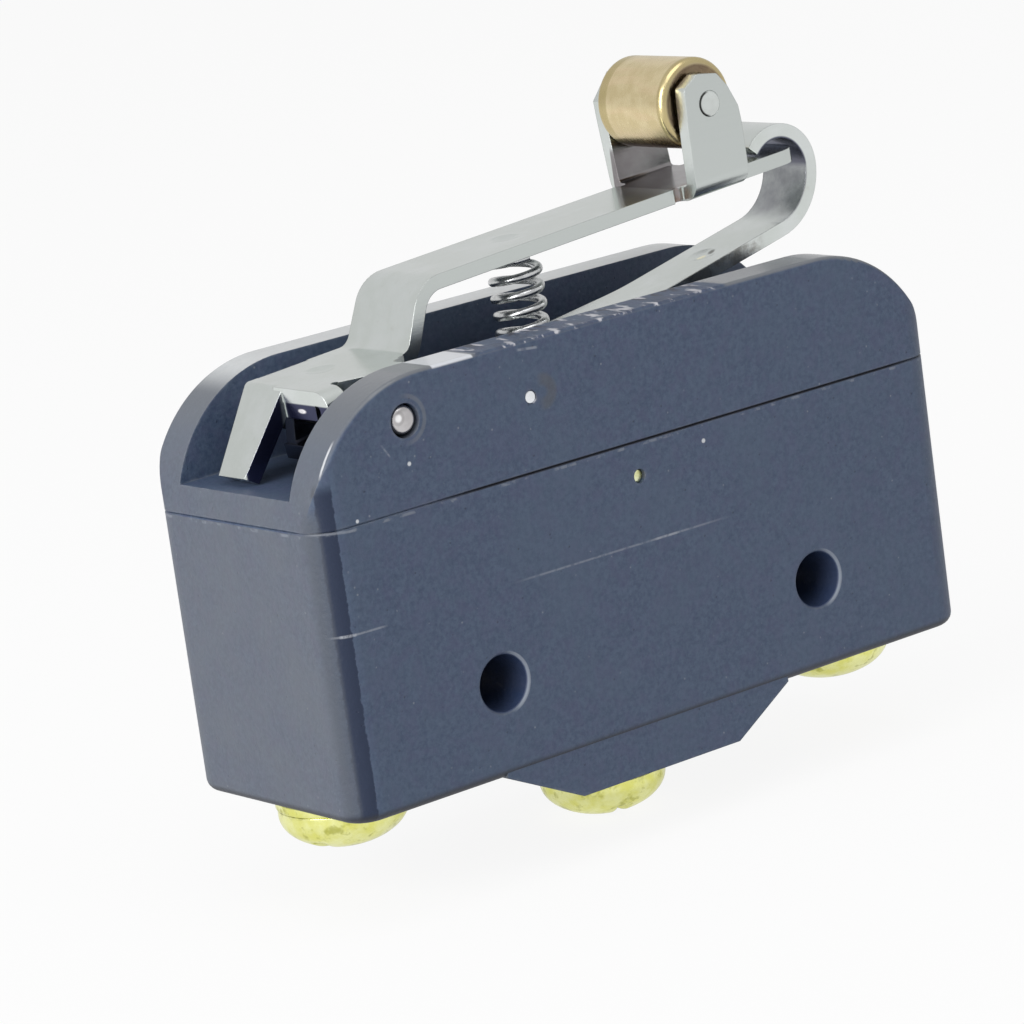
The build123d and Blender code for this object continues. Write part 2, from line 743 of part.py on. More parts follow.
# Common terminal, with the notched block that the blade and its tongue push against
with BuildPart() as common_terminal:
    add(terminal_post("common"))
    with BuildSketch(Plane.XZ):
        with BuildLine():
            Polyline(
                (common_terminal_x - anchor_foot_left, cavity_floor_z),
                (anchor_step_x, cavity_floor_z),
                (anchor_step_x, snap_end_z - notch_half_height),
                (anchor_step_x - snap_notch_depth, snap_end_z),
                (anchor_step_x, snap_end_z + notch_half_height),
                (anchor_step_x, anchor_step_z),
                (anchor_face_x, anchor_step_z),
                (anchor_face_x, blade_z - notch_half_height),
                (anchor_face_x - blade_notch_depth, blade_z),
                (anchor_face_x, blade_z + notch_half_height),
                (anchor_face_x, anchor_top_z),
                (anchor_face_x - anchor_wall, anchor_top_z),
                (anchor_face_x - anchor_wall, anchor_foot_z),
                (common_terminal_x - anchor_foot_left, anchor_foot_z),
                close=True,
            )
        make_face()
    extrude(amount=terminal_strip_width / 2, both=True)
finish(common_terminal, "common_terminal")

# Open terminal: a strip along the cavity's floor under the blade
with BuildPart() as open_terminal:
    add(terminal_post("open"))
    open_strip_left = middle_terminal_x - post_length / 2
    open_strip_right = contact_x + contact_strip_end
    with BuildSketch(Plane.XY.offset(cavity_floor_z)):
        with Locations(((open_strip_left + open_strip_right) / 2, 0)):
            Rectangle(open_strip_right - open_strip_left, terminal_strip_width)
        with Locations((contact_x, 0)):
            Circle(contact_neck_radius, mode=Mode.SUBTRACT)
    extrude(amount=terminal_strip)
finish(open_terminal, "open_terminal")

# Closed terminal: a strip that rises at the cavity's end and runs back over the blade
with BuildPart() as closed_terminal:
    add(terminal_post("closed"))
    with BuildSketch(Plane.XZ):
        with BuildLine():
            FilletPolyline(
                (closed_terminal_x - closed_foot_left, cavity_floor_z),
                (closed_terminal_x + closed_riser_right, cavity_floor_z),
                (closed_terminal_x + closed_riser_right, closed_strip_z),
                (contact_x - contact_strip_end, closed_strip_z),
                radius=strip_bend_radius,
            )
            offset(amount=terminal_strip, side=Side.LEFT)
        make_face()
    extrude(amount=terminal_strip_width / 2, both=True)
    with BuildSketch(Plane.XY.offset(closed_strip_bottom)):
        with Locations((contact_x, 0)):
            Circle(contact_neck_radius)
    extrude(amount=terminal_strip, mode=Mode.SUBTRACT)
finish(closed_terminal, "closed_terminal")

# Each terminal's washer and its screw, whose domed head points down
for name, (terminal_x, seat_z, slot_angle) in terminals.items():
    head_z = seat_z - washer_thickness
    rim_z = head_z - screw_head_rim
    with BuildPart() as washer:
        with BuildSketch(Plane.XY.offset(head_z)):
            with Locations((terminal_x, 0)):
                Circle(washer_radius)
                Circle(washer_hole_radius, mode=Mode.SUBTRACT)
        extrude(amount=washer_thickness)
        with BuildSketch(Plane.XY.offset(seat_z)):
            with Locations((terminal_x, 0)):
                Circle(washer_cup_radius)
        extrude(amount=-washer_cup_depth, mode=Mode.SUBTRACT)
        fillet(washer.edges().filter_by(GeomType.CIRCLE).sort_by(Axis.Z).sort_by(SortBy.RADIUS)[-2:], washer_edge)
    finish(washer, name + "_washer")
    with BuildPart() as screw:
        with BuildSketch(Plane.XZ):
            with Locations((terminal_x, rim_z)):
                Ellipse(screw_head_radius, screw_head_dome)
            with Locations((terminal_x, rim_z + screw_head_dome)):
                Rectangle(2 * screw_head_radius, 2 * screw_head_dome, mode=Mode.SUBTRACT)
            with Locations((terminal_x - screw_head_radius / 2, rim_z)):
                Rectangle(screw_head_radius, 2 * screw_head_dome, mode=Mode.SUBTRACT)
            with Locations((terminal_x + screw_head_radius / 2, rim_z + screw_head_rim / 2)):
                Rectangle(screw_head_radius, screw_head_rim)
        revolve(axis=Axis((terminal_x, 0, 0), (0, 0, 1)))
        with BuildSketch(Plane.XY.offset(head_z)):
            with Locations((terminal_x, 0)):
                Circle(screw_shank_radius)
        extrude(amount=screw_shank_length)
        with BuildSketch(Plane.XY.offset(rim_z - screw_head_dome)):
            with Locations(Location((terminal_x, 0), slot_angle)):
                Rectangle(3 * screw_head_radius, screw_slot_width)
        extrude(amount=screw_slot_depth, mode=Mode.SUBTRACT)
    finish(screw, name + "_screw")
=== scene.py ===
from math import atan2, degrees, radians
from types import SimpleNamespace

import bpy
from mathutils import Matrix, Vector


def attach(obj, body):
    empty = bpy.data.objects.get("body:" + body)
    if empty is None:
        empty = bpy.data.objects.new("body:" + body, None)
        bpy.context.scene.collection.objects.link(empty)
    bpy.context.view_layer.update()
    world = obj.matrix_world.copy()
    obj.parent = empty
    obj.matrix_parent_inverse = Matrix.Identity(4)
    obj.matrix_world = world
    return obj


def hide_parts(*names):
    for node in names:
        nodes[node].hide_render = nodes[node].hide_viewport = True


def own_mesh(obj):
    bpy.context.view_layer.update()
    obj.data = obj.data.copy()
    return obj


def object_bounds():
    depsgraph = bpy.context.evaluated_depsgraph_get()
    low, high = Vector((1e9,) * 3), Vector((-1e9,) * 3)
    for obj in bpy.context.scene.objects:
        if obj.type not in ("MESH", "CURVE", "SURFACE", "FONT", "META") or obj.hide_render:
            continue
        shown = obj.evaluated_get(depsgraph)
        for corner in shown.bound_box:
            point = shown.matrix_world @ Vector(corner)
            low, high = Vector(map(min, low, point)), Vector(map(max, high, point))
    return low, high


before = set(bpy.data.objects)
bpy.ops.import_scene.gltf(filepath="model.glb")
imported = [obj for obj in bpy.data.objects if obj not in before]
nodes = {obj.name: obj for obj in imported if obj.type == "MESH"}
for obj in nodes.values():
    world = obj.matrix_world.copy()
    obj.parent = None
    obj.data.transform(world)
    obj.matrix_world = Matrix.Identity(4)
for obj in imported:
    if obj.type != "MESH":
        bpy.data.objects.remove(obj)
frame_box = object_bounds()

# Places on the part in millimetres, and slopes up from X in degrees
HINGE = (-17.2, 0, 17.39)
ROLLER_CENTRE = (12.437, 0, 30.522)
WALL_STUD = (-7.82, 0, 16.61)
LOCK_PIN = (-0.4, 0, 9.92)
LOOP_CROWN = (19.30, 0, 24.76)
LOOP_RISE = (18.10, 0, 24.76)
HOLE_SIDES = (-12.7, 12.7)
FRONT_FACE = -8.72
SEAM_HEIGHT = 12.07
ARM_TILT = 4.1
LOWER_LEVER_SLOPE = 7.9
STRIP = 0.92


# Shader maths

class Value:
    """A number or colour that changes over a surface, so that shader maths reads as plain expressions."""

    def __init__(self, finish, socket):
        self.finish = finish
        self.socket = socket

    def maths(self, operation, first, second):
        return self.finish.node("ShaderNodeMath", {"operation": operation}, {0: first, 1: second})

    def __add__(self, other):
        return self.maths("ADD", self, other)

    def __radd__(self, other):
        return self.maths("ADD", other, self)

    def __sub__(self, other):
        return self.maths("SUBTRACT", self, other)

    def __rsub__(self, other):
        return self.maths("SUBTRACT", other, self)

    def __mul__(self, other):
        return self.maths("MULTIPLY", self, other)

    def __pow__(self, other):
        return self.maths("POWER", self, other)

    def rises(self, low, high):
        """0 below low, 1 above high, and a soft step between them. With low above high it falls."""
        return self.finish.node(
            "ShaderNodeMapRange",
            {"interpolation_type": "SMOOTHSTEP", "clamp": True},
            {0: self, 1: low, 2: high, 3: 0.0, 4: 1.0},
        )

    def near(self, centre, half, soft):
        """1 within half of a centre, fading to 0 over the soft width."""
        offset = self - centre
        return (offset * offset).rises((half + soft) ** 2, half ** 2)

    def beyond(self, low, high):
        """0 while closer to the middle plane than low, and 1 further from it than high, on either side."""
        return (self * self).rises(low ** 2, high ** 2)

    def between(self, low, high):
        """The number from 0 to 1 is spread out from low to high."""
        return self.finish.node("ShaderNodeMapRange", {"clamp": True}, {0: self, 1: 0.0, 2: 1.0, 3: low, 4: high})


class Finish:
    """One material: its shader, and one method that adds any other node."""

    def __init__(self, name, metallic=0.0, **sockets):
        self.material = bpy.data.materials.new(name)
        self.material.use_nodes = True
        self.tree = self.material.node_tree
        self.shader = self.tree.nodes["Principled BSDF"]
        self.shader.inputs["Metallic"].default_value = metallic
        for socket, value in sockets.items():
            self.shader.inputs[socket.replace("_", " ")].default_value = value

    def node(self, kind, settings=None, inputs=None, output=0):
        made = self.tree.nodes.new(kind)
        for setting, value in (settings or {}).items():
            setattr(made, setting, value)
        for key, value in (inputs or {}).items():
            if isinstance(value, Value):
                self.tree.links.new(value.socket, made.inputs[key])
            else:
                made.inputs[key].default_value = value
        return Value(self, made.outputs[output])

    def place(self, centre=(0, 0, 0), turn=(0, 0, 0), stretch=(1, 1, 1)):
        """Object coordinates in millimetres, centred, turned and stretched for one pattern."""
        coordinates = self.node("ShaderNodeTexCoord", output=3)
        centre_metres = tuple(part / 1000 for part in centre)
        moved = self.node("ShaderNodeVectorMath", {"operation": "SUBTRACT"}, {0: coordinates, 1: centre_metres})
        return self.node(
            "ShaderNodeMapping",
            {"vector_type": "POINT"},
            {0: moved, 2: tuple(radians(angle) for angle in turn), 3: tuple(1000 * part for part in stretch)},
        )

    def axis(self, place, name):
        """One coordinate of a place."""
        return self.node("ShaderNodeSeparateXYZ", None, {0: place}, output="XYZ".index(name))

    def axes(self, place):
        """The three coordinates of a place."""
        return [self.axis(place, name) for name in "XYZ"]

    def noise(self, place, scale, detail=3.0, roughness=0.5):
        inputs = {"Vector": place, "Scale": scale, "Detail": detail, "Roughness": roughness}
        return self.node("ShaderNodeTexNoise", None, inputs)

    def cells(self, place, scale):
        """The distance from scattered points."""
        return self.node("ShaderNodeTexVoronoi", None, {"Vector": place, "Scale": scale})

    def round_y(self, place):
        """How far a place lies from the axis along Y."""
        x, z = self.axis(place, "X"), self.axis(place, "Z")
        return (x * x + z * z) ** 0.5

    def length(self, place):
        return self.node("ShaderNodeVectorMath", {"operation": "LENGTH"}, {0: place}, output=1)

    def blend(self, factor, first, second):
        """A colour that goes from the first to the second as the factor goes from 0 to 1."""
        inputs = {0: factor}
        for key, colour in ((6, first), (7, second)):
            inputs[key] = colour if isinstance(colour, Value) else (*colour, 1.0)
        return self.node("ShaderNodeMix", {"data_type": "RGBA"}, inputs, output=2)

    def coats(self, colour, *coats):
        """Coats laid over a colour in turn, each a factor from 0 to 1 and the coat's colour."""
        for factor, coat in coats:
            colour = self.blend(factor, colour, coat)
        return colour

    def facing(self, name):
        """How far a face looks along one axis, from -1 to 1."""
        return self.axis(self.node("ShaderNodeNewGeometry", output=1), name)

    def spot(self, centre, radius, soft=0.1, stretch=(1, 1, 1)):
        """1 within a radius in millimetres of a centre, fading to 0 over the soft width."""
        return self.length(self.place(centre, stretch=stretch)).rises(radius + soft, radius)

    def worn_edge(self, width):
        """1 on edges sharper than the width in millimetres, 0 on flat faces."""
        soft = self.node("ShaderNodeBevel", {"samples": 6}, {0: width / 1000})
        face = self.node("ShaderNodeNewGeometry", output=1)
        alike = self.node("ShaderNodeVectorMath", {"operation": "DOT_PRODUCT"}, {0: soft, 1: face}, output=1)
        return (1 - alike).rises(0.005, 0.12)

    def scratch(self, centre, angle, length, width):
        """A fine straight scratch on a face across Y: its centre in X and Z, its angle, length and width."""
        place = self.place((centre[0], 0, centre[1]), (0, angle, 0))
        along = self.axis(place, "X").near(0, 0.30 * length, 0.20 * length)
        return along * self.axis(place, "Z").near(0, 0, width / 2)

    def bump(self, height, depth, soft_edge=None):
        """A bump of that depth in millimetres, over edges softened by soft_edge millimetres."""
        inputs = {"Height": height, "Distance": depth / 1000, "Strength": 1.0}
        if soft_edge:
            inputs["Normal"] = self.node("ShaderNodeBevel", {"samples": 6}, {0: soft_edge / 1000})
        return self.node("ShaderNodeBump", None, inputs)

    def wear(self, **sockets):
        """Feed shader sockets with what changes over the surface, and give the finished material."""
        for socket, value in sockets.items():
            self.tree.links.new(value.socket, self.shader.inputs[socket.replace("_", " ")])
        return self.material


# The moulding's finish, one layer at a time

def moulding_patterns(finish):
    """The patterns and directions that the moulding's layers share."""
    place = finish.place()
    x, y, z = finish.axes(place)
    blotch = finish.noise(place, 1.9, 3.0, 0.65)
    dust_cells = finish.cells(finish.place((3.1, 1.7, 5.3)), 1.1)
    return SimpleNamespace(
        place=place, x=x, y=y, z=z,
        upward=finish.facing("Z"),
        clouds=finish.noise(place, 0.20, 4.0, 0.6),
        tint=finish.noise(place, 1.1, 3.0, 0.6),
        grain=finish.noise(place, 3.4, 4.0, 0.7),
        blotch=blotch,
        pits=finish.cells(place, 1.5).rises(0.15, 0.05) * finish.noise(place, 0.7, 2.0).rises(0.50, 0.62),
        dust=dust_cells.rises(0.11, 0.04) * blotch.rises(0.45, 0.6),
    )


def mottled_skin(finish, skin):
    """Blue-grey grain with violet and blue clouds, dark pits and pale dust."""
    grainy = finish.blend(skin.grain.rises(0.22, 0.78), (0.032, 0.052, 0.100), (0.070, 0.100, 0.160))
    return finish.coats(
        grainy,
        (skin.tint.rises(0.42, 0.66) * 0.35, (0.062, 0.066, 0.132)),
        (skin.clouds.rises(0.40, 0.68) * 0.35, (0.062, 0.092, 0.142)),
        (skin.pits * 0.55, (0.010, 0.016, 0.034)),
        (skin.dust * 0.45, (0.26, 0.28, 0.31)),
    )


def rim_reflections_and_chips(finish, skin, colour):
    """Painted reflection on the upward rims of the cover's walls, palest on the back one, with one near-white stretch
    and chips on the front one.
    """
    x, y, z = skin.x, skin.y, skin.z
    rim = skin.upward.rises(0.20, 0.70) * y.beyond(5.60, 5.75)
    back_rim_reflection = rim * y.rises(5.2, 5.6) * z.rises(18.6, 20.0)
    front_rim = rim * y.rises(-5.2, -5.6)
    pale_stretch = x.near(-13.2, 1.45, 0.15) * z.rises(19.7, 19.9)
    chipped = x.near(-1.6, 9.6, 0.5) * front_rim
    whole = rim * (1 - chipped)
    towards_channel = y.rises(-7.4, -6.0).between(0.25, 1.0)
    chips = finish.noise(finish.place(stretch=(0.8, 0.3, 0.8)), 1.9, 3.0, 0.6).rises(0.50, 0.56)
    flakes = finish.noise(finish.place((5.0, 3.0, 1.0), stretch=(0.9, 0.3, 0.9)), 1.7, 3.0, 0.55).rises(0.54, 0.66)
    colour = finish.coats(
        colour,
        # Painted reflection: the rims' upward faces are made lighter, and the back rim palest
        (whole * z.rises(13.0, 19.5).between(0.25, 0.9), (0.125, 0.135, 0.150)),
        (back_rim_reflection * (0.75 + skin.blotch * 0.25), (0.58, 0.60, 0.61)),
        (front_rim * pale_stretch, (0.62, 0.64, 0.68)),
        (chipped * chips * towards_channel, (0.030, 0.032, 0.050)),
        (chipped * flakes * x.rises(9.0, 5.0).between(0.6, 1.0), (0.50, 0.50, 0.54)),
    )
    return colour, whole * z.rises(18.0, 20.0) * 0.7


def corner_band(finish, skin, colour):
    """Painted shade as an uneven dark band down the front left corner, a painted lighter strip low on the corner
    beside it, and the left face paler in clouds.
    """
    x, y, z = skin.x, skin.y, skin.z
    corner_shade = (x + skin.blotch * 0.3).near(-23.42, 0.42, 0.10) * y.rises(-7.7, -8.0) * z.rises(15.2, 14.2)
    corner_light = y.rises(-6.9, -7.8) * x.rises(-23.8, -24.1) * z.rises(14.0, 12.5)
    left_face = finish.facing("X").rises(-0.75, -0.95)
    return finish.coats(
        colour,
        # Painted shade: the dark band down the front left corner
        (corner_shade * (skin.tint * 0.5 + 0.6).near(1, 0.15, 0.5), (0.007, 0.016, 0.044)),
        (left_face * (0.20 + skin.clouds * 0.25), (0.160, 0.155, 0.140)),
        # Painted light: the lighter strip low on the corner beside the band
        (corner_light * 0.75, (0.052, 0.062, 0.082)),
    )


def rubbed_edges_and_underside_shade(finish, skin, colour):
    """Rubbed edges, painted shade on the downward faces round the underside, and the seam with its pale broken lower
    lip.
    """
    x, z = skin.x, skin.z
    rub = finish.worn_edge(0.35) * finish.noise(skin.place, 1.3, 4.0, 0.7).rises(0.44, 0.64)
    underside_shade = skin.upward.rises(-0.10, -0.60) * z.rises(-4.9, -5.2)
    seam = z.near(SEAM_HEIGHT, 0.05, 0.07) * x.near(4.0, 16.0, 5.5)
    lip = z.near(SEAM_HEIGHT - 0.21, 0.03, 0.09) * finish.noise(skin.place, 0.9, 3.0, 0.7).rises(0.52, 0.64)
    colour = finish.coats(
        colour,
        (rub * 0.45, (0.17, 0.19, 0.225)),
        # Painted shade on the downward faces round the underside
        (underside_shade * 0.85, (0.010, 0.012, 0.020)),
        (lip * 0.6, (0.20, 0.22, 0.26)),
        (seam, (0.004, 0.006, 0.014)),
    )
    return colour, rub


def hole_shade_and_lip_highlight(finish, skin, colour):
    """Painted shade, dark blue, inside the mounting holes, with a painted highlight on the lip of their right side."""
    for side in HOLE_SIDES:
        hole = finish.place((side, 0, 0))
        away = finish.round_y(hole)
        lip = away.near(1.90, 0.04, 0.08) * finish.axis(hole, "X").rises(0.2, 1.3) * skin.y.rises(-8.4, -8.6)
        colour = finish.coats(
            colour,
            # Painted shade inside each hole
            (away.rises(1.85, 1.78) * 0.8, (0.018, 0.034, 0.090)),
            # Painted highlight on the lip's right side
            (lip * 0.6, (0.28, 0.31, 0.36)),
        )
    return colour


def handling_marks_and_glint(finish, skin, colour):
    """A ring and a stain beside the two pins, broken scratches, a painted highlight as a glint on the rim's edge, and
    a few white specks.
    """
    x, y, z = skin.x, skin.y, skin.z
    pin_ring = finish.round_y(finish.place(HINGE)).near(1.42, 0.04, 0.14) * x.rises(-17.6, -16.4)
    stain = finish.round_y(finish.place((-6.95, 0, 16.75))).near(0.75, 0.15, 0.35) * x.rises(-7.4, -6.7)
    colour = finish.coats(
        colour,
        (pin_ring * 0.45, (0.16, 0.17, 0.19)),
        (stain * y.rises(-8.5, -8.7) * 0.35, (0.090, 0.080, 0.060)),
    )
    # Centre in X and Z, angle, length, width and strength
    scratches = (
        ((-2.4, 5.79), -0.3, 18.0, 0.18, 0.26),
        ((1.1, 5.77), -0.3, 2.2, 0.20, 0.36),
        ((-22.4, 5.72), -1.0, 4.0, 0.18, 0.34),
        ((-23.3, 5.73), -1.0, 1.1, 0.24, 0.60),
        ((-23.2, 11.95), -6.0, 3.2, 0.22, 0.30),
        ((-7.6, 19.55), -5.5, 1.8, 0.22, 0.40),
        ((-18.9, 15.9), -58.0, 1.1, 0.16, 0.30),
    )
    broken = y.rises(-6.5, -6.8) * skin.blotch.rises(0.30, 0.52).between(0.3, 1.0)
    for centre, angle, length, width, strength in scratches:
        mark = finish.scratch(centre, angle, length, width) * broken * strength
        colour = finish.blend(mark, colour, (0.42, 0.44, 0.48))
    # Painted highlight: a glint along the front left rim's edge
    painted_glint = y.near(-8.38, 0.04, 0.08) * z.near(16.25, 0.35, 0.75) * x.rises(-21.5, -22.0)
    colour = finish.blend(painted_glint * 0.6, colour, (0.80, 0.81, 0.83))
    specks = (((-17.34, FRONT_FACE, 14.76), 0.09), ((-21.6, FRONT_FACE, 12.30), 0.07), ((4.9, FRONT_FACE, 10.9), 0.10))
    for centre, radius in specks:
        colour = finish.blend(finish.spot(centre, radius, 0.08) * 0.9, colour, (0.60, 0.62, 0.65))
    return colour


def moulding_finish():
    """Blue-grey thermoset: mottled and pitted, with painted reflection on its rims, painted shade down one corner, in
    its holes and under its bottom edge, a seam, scratches, specks and a painted glint.
    """
    finish = Finish("moulding", Specular_IOR_Level=0.45, Coat_Roughness=0.15)
    skin = moulding_patterns(finish)
    colour, sheen = rim_reflections_and_chips(finish, skin, mottled_skin(finish, skin))
    colour, rub = rubbed_edges_and_underside_shade(finish, skin, corner_band(finish, skin, colour))
    colour = handling_marks_and_glint(finish, skin, hole_shade_and_lip_highlight(finish, skin, colour))
    relief = skin.grain * 0.6 + finish.noise(skin.place, 1.4, 2.0) * 0.4 - skin.pits * 0.4
    return finish.wear(
        Base_Color=colour,
        Roughness=(skin.grain * 0.5 + skin.clouds * 0.5 - rub * 0.2).between(0.38, 0.56),
        Coat_Weight=sheen,
        Normal=finish.bump(relief, 0.05, 0.12),
    )


# The levers' finishes

def strip_steel(name, slope):
    """Bright rolled strip with faint lines and dull patches. Gives the finish, colour, sheen and lines."""
    finish = Finish(name, metallic=1.0)
    place = finish.place()
    lines = finish.noise(finish.place(turn=(0, slope, 0), stretch=(0.09, 3.0, 3.0)), 2.0, 3.0, 0.6)
    patches = finish.noise(place, 0.30, 3.0, 0.6)
    stains = finish.noise(place, 1.1, 4.0, 0.7).rises(0.60, 0.78)
    colour = finish.coats(
        finish.blend(patches.rises(0.35, 0.7), (0.665, 0.705, 0.680), (0.720, 0.755, 0.745)),
        (lines.rises(0.35, 0.75) * 0.10, (0.60, 0.62, 0.60)),
        (stains * 0.22, (0.50, 0.48, 0.41)),
    )
    return finish, colour, (lines * 0.5 + patches * 0.5).between(0.16, 0.30), lines


def upper_lever_finish():
    """The roller's arm: painted shadow and rust under the roller, painted shade along its edges, on its near side and
    on its root's end faces, and a painted glint.
    """
    finish, colour, rough, lines = strip_steel("upper_lever_steel", ARM_TILT)
    place = finish.place()
    x, y, z = finish.axes(place)
    smears = finish.noise(place, 0.9, 4.0, 0.65)
    near_side_shade = finish.facing("Y").rises(-0.5, -0.9)
    under_roller_shadow = x.near(13.0, 3.1, 0.25) * y.near(0.65, 3.3, 0.10) * z.near(25.7, 1.7, 0.5)
    rust = under_roller_shadow * y.near(-2.45, 0.10, 0.35) * smears.rises(0.42, 0.6)
    beside_tail = y.rises(-0.9, -1.1)
    end_face = x.rises(-20.10, -20.18) * finish.facing("X").rises(-0.7, -0.9)
    root_end_shade = end_face * beside_tail * z.rises(18.62, 18.50)
    tail_side_shade = x.rises(-20.3, -20.5) * finish.facing("Y").rises(-0.7, -0.85)
    wing = x.near(-19.0, 1.6, 0.1) * z.rises(18.5, 18.3) * beside_tail
    painted_glint = finish.spot((-20.22, -2.6, 18.13), 0.10, 0.08, stretch=(1, 0.35, 1))
    colour = finish.coats(
        colour,
        # Painted shade: a dark line along the edges
        (finish.worn_edge(0.10) * 0.30, (0.36, 0.37, 0.36)),
        # Painted shade on the faces that look to the near side
        (near_side_shade * 0.9, (0.565, 0.600, 0.585)),
        # Painted shadow and reflection of the roller on the arm under it
        (under_roller_shadow * smears.between(0.70, 1.1), (0.24, 0.222, 0.228)),
        (rust * 0.7, (0.24, 0.15, 0.10)),
        # Painted shade: the root's end face, the tail's side and the wing beside the tail are darkened
        (root_end_shade + tail_side_shade + wing * 0.8, (0.050, 0.055, 0.110)),
        # Painted highlight: a small glint below the root's end
        (painted_glint, (1.0, 0.98, 1.0)),
    )
    return finish.wear(Base_Color=colour, Roughness=rough, Normal=finish.bump(lines, 0.004, 0.06))


def lower_lever_finish():
    """The looped lever: painted dark reflection inside its loop, painted shade round its root and along its top edges,
    and a painted highlight and shade on its dimple.
    """
    finish, colour, rough, lines = strip_steel("lower_lever_steel", LOWER_LEVER_SLOPE)
    place = finish.place()
    x, z = finish.axis(place, "X"), finish.axis(place, "Z")
    smears = finish.noise(place, 0.9, 4.0, 0.65)
    edge_shade = finish.worn_edge(0.12) * finish.facing("Z").rises(0.2, 0.6)
    crown = finish.round_y(finish.place(LOOP_CROWN)).rises(2.30, 2.18) * z.rises(24.5, 25.0)
    rise_shade = finish.round_y(finish.place(LOOP_RISE)).rises(3.50, 3.38) * x.rises(18.6, 20.6) * z.rises(26.0, 25.0)
    near_edge = finish.facing("Y").rises(-0.6, -0.9) * x.near(13.5, 2.5, 1.5)
    dimple_highlight = finish.spot((13.65, 0.05, 20.37), 0.30, 0.2, stretch=(1, 1.6, 1))
    dimple_shade = finish.spot((14.35, -0.15, 20.50), 0.16, 0.2)
    colour = finish.coats(
        colour,
        # Painted shade: a dark line along the top edges
        (edge_shade * 0.75, (0.05, 0.05, 0.075)),
        # Painted reflection: the dark inside of the loop's crown
        (crown * 0.9, (0.045, 0.050, 0.105)),
        # Painted shade inside the loop's rise
        (rise_shade * smears.between(0.3, 1.0), (0.16, 0.16, 0.19)),
        (near_edge * smears.rises(0.40, 0.62) * 0.6, (0.24, 0.22, 0.19)),
        # Painted highlight in the dimple
        (dimple_highlight * 0.8, (0.98, 0.93, 0.66)),
        # Painted shade on the dimple's right side
        (dimple_shade * 0.8, (0.10, 0.10, 0.09)),
        # Painted shade round the root, under the upper lever's plate
        (x.rises(-12.0, -15.0) * 0.88, (0.070, 0.075, 0.120)),
    )
    return finish.wear(Base_Color=colour, Roughness=rough, Normal=finish.bump(lines, 0.004, 0.06))


# Finishes of the roller, the pins and the other metal and plastic pieces

def turned(name, centre, light, dark, rough):
    """Metal turned round an axis along Y: fine rings and dull patches. Gives the finish, colour, sheen and relief."""
    finish = Finish(name, metallic=1.0)
    place = finish.place(centre)
    rings = finish.node(
        "ShaderNodeTexWave",
        {"wave_type": "RINGS", "rings_direction": "Y", "wave_profile": "SIN"},
        {"Vector": place, "Scale": 2.4, "Distortion": 0.6, "Detail": 2.0, "Detail Scale": 1.0},
    )
    tool_lines = finish.noise(finish.place(centre, stretch=(0.12, 6.0, 0.12)), 2.0, 2.0, 0.5)
    patches = finish.noise(place, 0.7, 4.0, 0.65)
    colour = finish.blend(patches.rises(0.36, 0.66), dark, light)
    sheen = (patches * 0.5 + tool_lines * 0.5).between(rough - 0.1, rough + 0.12)
    relief = rings * finish.round_y(place).rises(0.4, 1.5) * 0.3 + tool_lines * 0.7
    return finish, colour, sheen, relief


def turned_finish(name, centre, light, dark, rough):
    """A plain turned pin."""
    finish, colour, sheen, relief = turned(name, centre, light, dark, rough)
    return finish.wear(Base_Color=colour, Roughness=sheen, Normal=finish.bump(relief, 0.008, 0.06))


def roller_finish():
    """Turned brass: dulled rims, dark brown on its end faces and in smears along its lowest side, and painted shade on
    its lower half.
    """
    finish, colour, sheen, relief = turned(
        "roller_brass", ROLLER_CENTRE, (0.80, 0.68, 0.42), (0.70, 0.58, 0.335), 0.26
    )
    place = finish.place(ROLLER_CENTRE)
    y, z = finish.axis(place, "Y"), finish.axis(place, "Z")
    away = finish.round_y(place)
    smears = finish.noise(place, 1.4, 4.0, 0.7)
    streaks = finish.noise(finish.place(ROLLER_CENTRE, stretch=(1.0, 0.15, 1.0)), 1.6, 3.0, 0.6)
    end_faces = y.beyond(2.72, 2.85) * away.rises(2.62, 2.35)
    rims = y.beyond(2.45, 2.60) * away.rises(2.45, 2.60)
    underneath = z.rises(-2.25, -2.50) * smears.rises(0.28, 0.42)
    colour = finish.coats(
        colour,
        (streaks.rises(0.45, 0.7) * 0.35, (0.86, 0.66, 0.44)),
        (finish.worn_edge(0.18) * 0.25, (0.88, 0.74, 0.40)),
        (end_faces * smears.between(0.55, 1.15), (0.115, 0.070, 0.050)),
        (rims * 0.6, (0.46, 0.38, 0.17)),
        # Painted shade: the lower half is darker
        (z.rises(-0.8, -2.2) * 0.30, (0.50, 0.39, 0.22)),
        (underneath * 0.8, (0.17, 0.09, 0.07)),
    )
    return finish.wear(Base_Color=colour, Roughness=sheen, Normal=finish.bump(relief, 0.008, 0.06))


def roller_pin_finish():
    """The riveted pin takes the arm's colour, with painted shade in the groove on its left side."""
    finish, colour, sheen, relief = turned(
        "roller_pin_steel", ROLLER_CENTRE, (0.70, 0.735, 0.715), (0.64, 0.67, 0.65), 0.26
    )
    place = finish.place(ROLLER_CENTRE)
    groove_shade = finish.round_y(place).rises(0.66, 0.76) * finish.axis(place, "X").rises(0.05, -0.35)
    # Painted shade in the groove on the left side
    colour = finish.blend(groove_shade, colour, (0.03, 0.032, 0.03))
    return finish.wear(Base_Color=colour, Roughness=sheen, Normal=finish.bump(relief, 0.006, 0.05))


